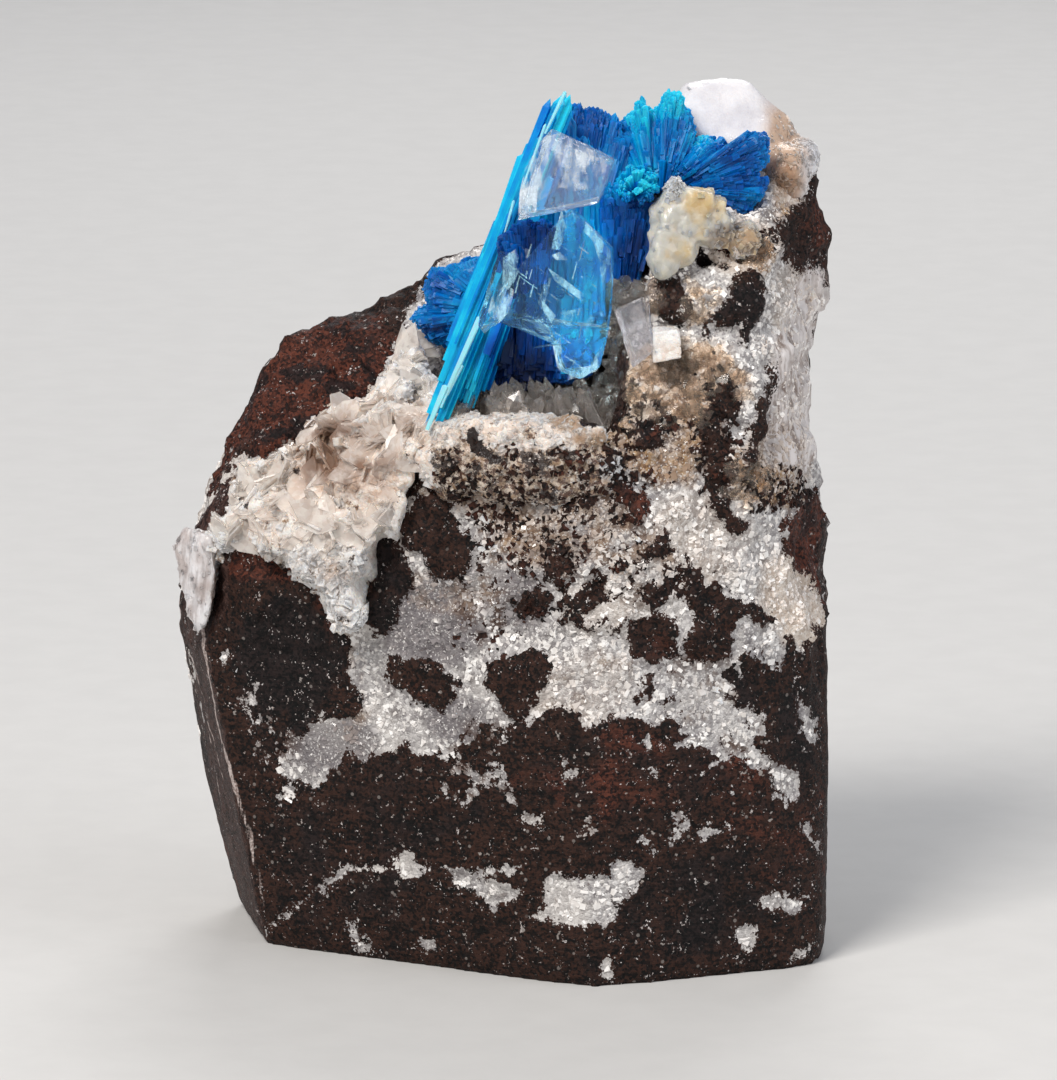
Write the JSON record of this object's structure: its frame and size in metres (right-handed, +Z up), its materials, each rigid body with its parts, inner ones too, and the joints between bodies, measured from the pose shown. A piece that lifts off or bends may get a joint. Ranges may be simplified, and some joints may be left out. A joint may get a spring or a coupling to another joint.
{
  "type": "cavansite mineral specimen",
  "caption": "Blue cavansite sprays with clear calcite and peach stilbite in a pocket of a dark basalt breccia block with a sawn flat foot.",
  "frame": {"origin": "centre of the specimen's outline on the surface it stands on, at its sawn foot", "axes": "+Z up; -Y towards the show side with the blue sprays; +X to the right seen from the show side"},
  "size_m": [0.033, 0.0234, 0.0435],
  "materials": {
    "basalt": "matt dark chocolate-brown breccia with white sugary cement",
    "stilbite": "translucent white to peach bladed crystals",
    "cavansite": "vivid royal to cyan blue, silky striated blades",
    "calcite_clear": "clear cleaved calcite with inner veils",
    "calcite_yellow": "pale yellow translucent calcite",
    "white_cap": "dull white to grey crust",
    "edge_vein": "glassy white vein filling",
    "pocket_prisms": "dark glassy prisms"
  },
  "bodies": {
    "root": {"basalt_matrix": "basalt", "stilbite_crust": "stilbite", "cavansite_main_spray": "cavansite", "cavansite_right_spray": "cavansite", "cavansite_left_spray": "cavansite", "calcite_upper": "calcite_clear", "calcite_lower": "calcite_clear", "calcite_rhombs": "calcite_clear", "calcite_yellow": "calcite_yellow", "stilbite_cap": "white_cap", "stilbite_edge_vein": "edge_vein", "pocket_floor_prisms": "pocket_prisms"}
  },
  "joints": []
}
